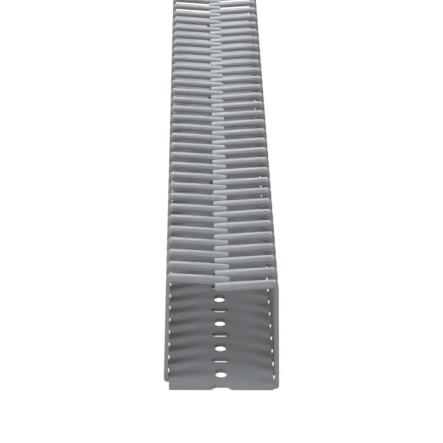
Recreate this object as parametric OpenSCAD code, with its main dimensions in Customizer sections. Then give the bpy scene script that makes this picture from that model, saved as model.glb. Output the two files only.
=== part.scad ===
// Flexible slotted wiring duct, moulded in one piece.
// A flat perforated base carries two rows of fingers. Each finger stands up along the edge of the
// base, bends over and reaches past the middle. The rows are staggered by half a pitch, so the arms
// pass between each other and close the duct, and wires are pressed in between them.
// X is across the duct, Y along it and Z up. The origin is the middle of the underside.

/* [Duct] */
// Width over the outside of the legs, at the base
duct_w = 50; // [30:1:100]
// Height to the top of the fingers
duct_h = 50; // [20:1:100]
// Length of the base
duct_l = 500; // [150:25:1000]

/* [Fingers] */
// Distance from one finger to the next in the same row
pitch = 12.5; // [8:0.5:20]
// Gap left between an arm and its neighbours from the other row
arm_gap = 1; // [0.2:0.05:1.5]
// Thickness of the legs and arms
finger_t = 1.8; // [1.2:0.1:3]
// Length of free base ahead of the first finger of the right row
first_finger = 1.4; // [0:0.1:6]
// Lean of the legs towards the middle, in degrees
leg_lean = 1.25; // [0:0.25:4]
// Fall of the arms from the bend to the tip, in degrees
arm_fall = 3.9; // [0:0.1:8]
// Distance by which an arm reaches past the middle
arm_past = 3.1; // [0:0.1:8]
// Inner radius of the bend between leg and arm
bend_r = 0.6; // [0.2:0.1:4]
// Bevel on the outer edges of a finger
bevel = 0.5; // [0.1:0.05:0.8]
// Radius on the two corners of an arm's tip
tip_r = 1.3; // [0.3:0.1:2]

/* [Base] */
// Thickness of the base
base_t = 1.8; // [1.2:0.1:4]
// Radius on the corners of the base
corner_r = 1; // [0.5:0.1:6]
// Radius under the foot of each leg
foot_r = 1.5; // [0.3:0.1:1.6]
// Fillet between the base and the inside of a leg
root_r = 0.8; // [0.2:0.1:2]
// Depth by which the gaps between the legs cut into the sides of the base
side_cut = 0.5; // [0.1:0.1:2]

/* [Perforation] */
// Distance from one long hole to the next, with a cross slot midway
hole_pitch = 25; // [15:0.5:50]
// Width of the long holes, across the duct
hole_w = 4.9; // [3:0.1:7]
// Length of the long holes, along the duct
hole_l = 7.8; // [5:0.1:9]
// Width of the cross slots, across the duct
slot_w = 7.8; // [5:0.1:16]
// Length of the cross slots, along the duct
slot_l = 4.3; // [2:0.1:5]
// Bevel where the half slot at each end runs out into the end edge
mouth_bevel = 0.7; // [0.1:0.05:1]

/* [Hidden] */
$fn = 32;

// The space between the legs, and the base that is left there by the side cuts
inner_w = duct_w - 2 * finger_t;
base_w = inner_w - 2 * side_cut;
finger_w = pitch / 2 - arm_gap;
bend_outer_r = bend_r + finger_t;
// The leg's length below its bend, which puts the top of the bend at duct_h
leg_l = (duct_h - bend_outer_r * (1 - sin(leg_lean))) / cos(leg_lean);
// Where the bend's axis is, and the length of arm from there to arm_past beyond the middle
bend_x = duct_w / 2 - bend_outer_r * cos(leg_lean) - leg_l * sin(leg_lean);
arm_l = (bend_x + arm_past - bend_outer_r * sin(arm_fall)) / cos(arm_fall);
// How far a cutter runs past the faces that it cuts
past = 1;

// How many fingers stand whole on the base, when the first one starts at y = start
function finger_count(start) = floor((duct_l - start - finger_w) / pitch) + 1;

// A slot along X with round ends, about the origin
module round_slot(length, width) {
    square([length - width, width], center = true);
    for (side = [-1, 1])
        translate([side * (length - width) / 2, 0]) circle(width / 2);
}

// Widens the mouth of the half slot at the end of the base that lies on y = 0
module mouth() {
    half_w = slot_w / 2;
    polygon([
        [-half_w - mouth_bevel, -past], [half_w + mouth_bevel, -past],
        [half_w + mouth_bevel, 0], [half_w - mouth_bevel, 2 * mouth_bevel],
        [mouth_bevel - half_w, 2 * mouth_bevel], [-half_w - mouth_bevel, 0]
    ]);
}

// Outline of the base, with its long holes, cross slots and the half slot at each end
module base_outline() {
    difference() {
        union() {
            square([base_w - 2 * corner_r, duct_l], center = true);
            square([base_w, duct_l - 2 * corner_r], center = true);
            for (x = [-1, 1], y = [-1, 1])
                translate([x * (base_w / 2 - corner_r), y * (duct_l / 2 - corner_r)])
                    circle(corner_r);
        }
        for (y = [hole_pitch / 2 : hole_pitch : duct_l])
            translate([0, y - duct_l / 2]) rotate(90) round_slot(hole_l, hole_w);
        for (y = [0 : hole_pitch : duct_l])
            translate([0, y - duct_l / 2]) round_slot(slot_w, slot_l);
        for (end = [0, 1])
            mirror([0, end]) translate([0, -duct_l / 2]) mouth();
    }
}

// Section of a finger: its thickness is along X, with the bevelled outer side last
module finger_section() {
    polygon([
        [0, 0], [finger_t - bevel, 0], [finger_t, bevel],
        [finger_t, finger_w - bevel], [finger_t - bevel, finger_w], [0, finger_w]
    ]);
}

// The arm runs up +Z from the bend, and its tip has two round corners
module arm() {
    intersection() {
        linear_extrude(arm_l) finger_section();
        rotate([0, 90, 0]) mirror([1, 0, 0]) linear_extrude(finger_t) {
            square([arm_l - tip_r, finger_w]);
            translate([0, tip_r]) square([arm_l, finger_w - 2 * tip_r]);
            for (y = [tip_r, finger_w - tip_r])
                translate([arm_l - tip_r, y]) circle(tip_r);
        }
    }
}

// Joins a leg to the base, with a fillet in the inner corner
module finger_root() {
    reach = finger_t / 2;
    fillet_x = (base_t + root_r) * tan(leg_lean);
    tongue = side_cut + root_r;
    translate([inner_w / 2, finger_w, 0]) rotate([90, 0, 0]) linear_extrude(finger_w) {
        translate([-tongue, 0]) square([tongue + reach, base_t]);
        difference() {
            translate([-root_r - fillet_x, base_t]) square([root_r + reach, root_r]);
            translate([-root_r - fillet_x, base_t + root_r]) circle(root_r);
        }
    }
}

// One finger of the right row, with its near side at y = 0: leg, bend and arm
module finger() {
    translate([duct_w / 2, 0, 0]) rotate([0, -leg_lean, 0]) {
        translate([-finger_t, 0, -past]) linear_extrude(leg_l + past) finger_section();
        translate([-bend_outer_r, 0, leg_l]) {
            turn = 90 + arm_fall - leg_lean;
            translate([0, finger_w, 0]) rotate([90, 0, 0])
                rotate_extrude(angle = turn) translate([bend_r, 0]) finger_section();
            rotate([0, -turn, 0]) translate([bend_r, 0, 0]) arm();
        }
    }
    finger_root();
}

module finger_row(start) {
    for (i = [0 : finger_count(start) - 1])
        translate([0, start + i * pitch - duct_l / 2, 0]) finger();
}

// Cuts the legs off level with the underside, and rounds their outer lower corner on the right side
module foot_cutter() {
    length = duct_l + 2 * past;
    translate([0, length / 2, 0]) rotate([90, 0, 0]) linear_extrude(length) {
        translate([0, -2 * past]) square([duct_w / 2 + past, 2 * past]);
        difference() {
            translate([duct_w / 2 - foot_r, -past]) square([foot_r + past, foot_r + past]);
            translate([duct_w / 2 - foot_r, foot_r]) circle(foot_r);
        }
    }
}

module duct() {
    color([0.62, 0.64, 0.66]) difference() {
        union() {
            linear_extrude(base_t) base_outline();
            finger_row(first_finger);
            mirror([1, 0, 0]) finger_row(first_finger + pitch / 2);
        }
        foot_cutter();
        mirror([1, 0, 0]) foot_cutter();
    }
}

duct();
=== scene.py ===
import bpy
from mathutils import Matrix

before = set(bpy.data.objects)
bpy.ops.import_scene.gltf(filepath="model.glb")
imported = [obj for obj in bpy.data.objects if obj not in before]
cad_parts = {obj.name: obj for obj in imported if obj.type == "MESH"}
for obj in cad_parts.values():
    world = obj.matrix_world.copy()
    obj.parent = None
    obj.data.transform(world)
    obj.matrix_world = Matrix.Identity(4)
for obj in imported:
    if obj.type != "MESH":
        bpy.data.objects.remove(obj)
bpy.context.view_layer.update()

import math
import bpy
from mathutils import Matrix, Vector

scene = bpy.context.scene


# ---------------------------------------------------------------- The duct
# The duct is one moulding: a perforated base with two rows of bent fingers that close over it.
# It is grey PVC with a fine matt grain from the mould, a little glossier in some patches than in
# others. Screws or rivets through the long holes hold it to a panel.
MM = 0.001
DUCT_GREY = (0.194, 0.2, 0.206, 1)
DUCT_ROUGHNESS = 0.32
CLOUDS_PER_METRE = 90
CLOUD_SHADE = 0.03
CLOUD_GLOSS = 0.04
GRAINS_PER_METRE = 2600
GRAIN_DEPTH = 0.05 * MM
GRAIN_STRENGTH = 0.25


def link(tree, out_node, out_socket, in_node, in_socket):
    """Joins two nodes. A socket is given by its name, or by its number where it has no own name."""
    tree.links.new(out_node.outputs[out_socket], in_node.inputs[in_socket])


def moulded_plastic_group():
    """Colour, roughness and relief of a matt moulded surface, from points in metres."""
    tree = bpy.data.node_groups.new("Moulded grain", "ShaderNodeTree")
    face = tree.interface
    face.new_socket("Colour", in_out="INPUT", socket_type="NodeSocketColor")
    face.new_socket("Mottle", in_out="INPUT", socket_type="NodeSocketFloat")
    face.new_socket("Roughness", in_out="INPUT", socket_type="NodeSocketFloat")
    face.new_socket("Colour", in_out="OUTPUT", socket_type="NodeSocketColor")
    face.new_socket("Roughness", in_out="OUTPUT", socket_type="NodeSocketFloat")
    face.new_socket("Height", in_out="OUTPUT", socket_type="NodeSocketFloat")
    nodes = tree.nodes
    given = nodes.new("NodeGroupInput")
    result = nodes.new("NodeGroupOutput")
    place = nodes.new("ShaderNodeTexCoord")

    # Clouds of slightly lighter and darker plastic, from -1 to 1
    cloud = nodes.new("ShaderNodeTexNoise")
    cloud.inputs["Scale"].default_value = CLOUDS_PER_METRE
    cloud.inputs["Detail"].default_value = 3
    link(tree, place, "Object", cloud, "Vector")
    cloud_range = nodes.new("ShaderNodeMapRange")
    cloud_range.inputs["From Min"].default_value = 0.3
    cloud_range.inputs["From Max"].default_value = 0.7
    cloud_range.inputs["To Min"].default_value = -1
    cloud_range.inputs["To Max"].default_value = 1
    link(tree, cloud, "Fac", cloud_range, "Value")

    # The colour times 1 + cloud * mottle
    shade = nodes.new("ShaderNodeMath")
    shade.operation = "MULTIPLY_ADD"
    shade.inputs[2].default_value = 1
    link(tree, cloud_range, "Result", shade, 0)
    link(tree, given, "Mottle", shade, 1)
    tint = nodes.new("ShaderNodeVectorMath")
    tint.operation = "SCALE"
    link(tree, given, "Colour", tint, 0)
    link(tree, shade, 0, tint, "Scale")
    link(tree, tint, "Vector", result, "Colour")

    # The fine grain of the mould
    grain = nodes.new("ShaderNodeTexNoise")
    grain.inputs["Scale"].default_value = GRAINS_PER_METRE
    grain.inputs["Detail"].default_value = 2
    link(tree, place, "Object", grain, "Vector")
    link(tree, grain, "Fac", result, "Height")

    # The roughness plus cloud * gloss
    gloss = nodes.new("ShaderNodeMath")
    gloss.operation = "MULTIPLY_ADD"
    gloss.inputs[1].default_value = CLOUD_GLOSS
    link(tree, cloud_range, "Result", gloss, 0)
    link(tree, given, "Roughness", gloss, 2)
    link(tree, gloss, 0, result, "Roughness")
    return tree


def duct_plastic():
    material = bpy.data.materials.new("Duct grey PVC")
    material.use_nodes = True
    tree = material.node_tree
    shader = tree.nodes["Principled BSDF"]
    skin = tree.nodes.new("ShaderNodeGroup")
    skin.node_tree = moulded_plastic_group()
    skin.inputs["Colour"].default_value = DUCT_GREY
    skin.inputs["Mottle"].default_value = CLOUD_SHADE
    skin.inputs["Roughness"].default_value = DUCT_ROUGHNESS
    link(tree, skin, "Colour", shader, "Base Color")
    link(tree, skin, "Roughness", shader, "Roughness")
    bump = tree.nodes.new("ShaderNodeBump")
    bump.inputs["Strength"].default_value = GRAIN_STRENGTH
    bump.inputs["Distance"].default_value = GRAIN_DEPTH
    link(tree, skin, "Height", bump, "Height")
    link(tree, bump, "Normal", shader, "Normal")
    shader.inputs["IOR"].default_value = 1.5
    return material


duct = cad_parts["duct"]
duct.data.materials.clear()
duct.data.materials.append(duct_plastic())

# Shading alone: corners that coincide are joined, hard edges stay hard and bevels look round
weld = duct.modifiers.new("Join faces", "WELD")
weld.merge_threshold = 0.001 * MM
split = duct.modifiers.new("Keep corners", "EDGE_SPLIT")
split.split_angle = math.radians(50)
split.use_edge_sharp = False
soften = duct.modifiers.new("Round bevels", "WEIGHTED_NORMAL")
soften.mode = "FACE_AREA"
soften.weight = 100
soften.keep_sharp = False


# ---------------------------------------------------------------- Floor
# The floor is a sheet of white paper that the duct lies on. It throws light back as paper does.
# What the camera sees of it also glows, so that it shows as white and still takes a shadow.
FLOOR_HALF = 6
FLOOR_DROP = 0.02 * MM
PAPER_WHITE = (0.8, 0.8, 0.8, 1)
SEEN_SHADE = (0.12, 0.12, 0.12, 1)
SEEN_GLOW = 0.92


def floor_paper():
    material = bpy.data.materials.new("White paper")
    material.use_nodes = True
    tree = material.node_tree
    tree.nodes.clear()
    output = tree.nodes.new("ShaderNodeOutputMaterial")
    paper = tree.nodes.new("ShaderNodeBsdfDiffuse")
    paper.inputs["Color"].default_value = PAPER_WHITE
    seen = tree.nodes.new("ShaderNodeBsdfDiffuse")
    seen.inputs["Color"].default_value = SEEN_SHADE
    glow = tree.nodes.new("ShaderNodeEmission")
    glow.inputs["Strength"].default_value = SEEN_GLOW
    lit = tree.nodes.new("ShaderNodeAddShader")
    link(tree, seen, "BSDF", lit, 0)
    link(tree, glow, "Emission", lit, 1)
    ray = tree.nodes.new("ShaderNodeLightPath")
    pick = tree.nodes.new("ShaderNodeMixShader")
    link(tree, ray, "Is Camera Ray", pick, 0)
    link(tree, paper, "BSDF", pick, 1)
    link(tree, lit, "Shader", pick, 2)
    link(tree, pick, "Shader", output, "Surface")
    return material


floor_mesh = bpy.data.meshes.new("Floor")
floor_corners = [(FLOOR_HALF * x, FLOOR_HALF * y, 0) for x, y in ((-1, -1), (1, -1), (1, 1), (-1, 1))]
floor_mesh.from_pydata(floor_corners, [], [(0, 1, 2, 3)])
floor = bpy.data.objects.new("Floor", floor_mesh)
floor.location.z = -FLOOR_DROP
floor_mesh.materials.append(floor_paper())
scene.collection.objects.link(floor)


# ---------------------------------------------------------------- Light
# A white room gives weak light from all round, and five soft boxes stand well away from the duct.
# The three high ones light the tops, and through the gaps they lay curved streaks on the base. A
# weak low one in front lights the end faces, and one low behind gives the tops their sheen.
ROOM_LIGHT = 0.15
BOX_DISTANCE = 3.0
COOL_WHITE = (0.98, 1, 1.02)
COLD_WHITE = (0.96, 1, 1.05)
WARM_WHITE = (1.02, 1, 0.98)

world = bpy.data.worlds.new("Studio")
scene.world = world
world.use_nodes = True
background = world.node_tree.nodes["Background"]
background.inputs["Color"].default_value = (1, 1, 1, 1)
background.inputs["Strength"].default_value = ROOM_LIGHT


def soft_box(name, turn, height, width_angle, height_angle, level, tint):
    """A box aimed at the duct, as bright as level times white. Turn is its bearing in degrees from
    the near end towards the left, height its angle above the floor, and the two other angles are
    its size as the duct sees it."""
    lamp = bpy.data.lights.new(name, "AREA")
    lamp.shape = "RECTANGLE"
    lamp.size = 2 * BOX_DISTANCE * math.tan(math.radians(width_angle / 2))
    lamp.size_y = 2 * BOX_DISTANCE * math.tan(math.radians(height_angle / 2))
    lamp.energy = math.pi * lamp.size * lamp.size_y * level
    lamp.color = tint
    turn, height = math.radians(turn), math.radians(height)
    place = BOX_DISTANCE * Vector((-math.sin(turn) * math.cos(height),
                                   -math.cos(turn) * math.cos(height), math.sin(height)))
    holder = bpy.data.objects.new(name, lamp)
    holder.location = place
    holder.rotation_euler = (-place).to_track_quat("-Z", "Y").to_euler()
    holder.visible_camera = False
    scene.collection.objects.link(holder)


soft_box("Left high box", turn=65, height=54, width_angle=18, height_angle=22, level=15, tint=COOL_WHITE)
soft_box("Front high box", turn=10, height=60, width_angle=16, height_angle=18, level=10, tint=COOL_WHITE)
soft_box("Right high box", turn=-52, height=66, width_angle=14, height_angle=14, level=14, tint=COOL_WHITE)
soft_box("Front low box", turn=0, height=6, width_angle=60, height_angle=12, level=2, tint=WARM_WHITE)
soft_box("Back box", turn=180, height=18, width_angle=45, height_angle=14, level=4.2, tint=COLD_WHITE)


# ---------------------------------------------------------------- Camera
# The camera stands a little over a metre from the middle of the duct, past its near end and just
# left of its middle line, and looks down along it through a long lens.
SENSOR_WIDTH = 36
LENS_LENGTH = 186.257
CAMERA_PLACE = (-0.01366, -1.12467, 0.4669)
LOOK_DOWN, TURN_RIGHT, ROLL = (math.radians(a) for a in (23.88, 0.854, 0.53))

camera_data = bpy.data.cameras.new("Camera")
camera_data.sensor_width = SENSOR_WIDTH
camera_data.lens = LENS_LENGTH
camera_data.clip_start = 0.01
camera_data.clip_end = 50
camera = bpy.data.objects.new("Camera", camera_data)
scene.collection.objects.link(camera)
scene.camera = camera
camera.matrix_world = (Matrix.Translation(CAMERA_PLACE)
                       @ Matrix.Rotation(-TURN_RIGHT, 4, "Z")
                       @ Matrix.Rotation(math.pi / 2 - LOOK_DOWN, 4, "X")
                       @ Matrix.Rotation(ROLL, 4, "Z"))

scene.view_settings.view_transform = "Standard"
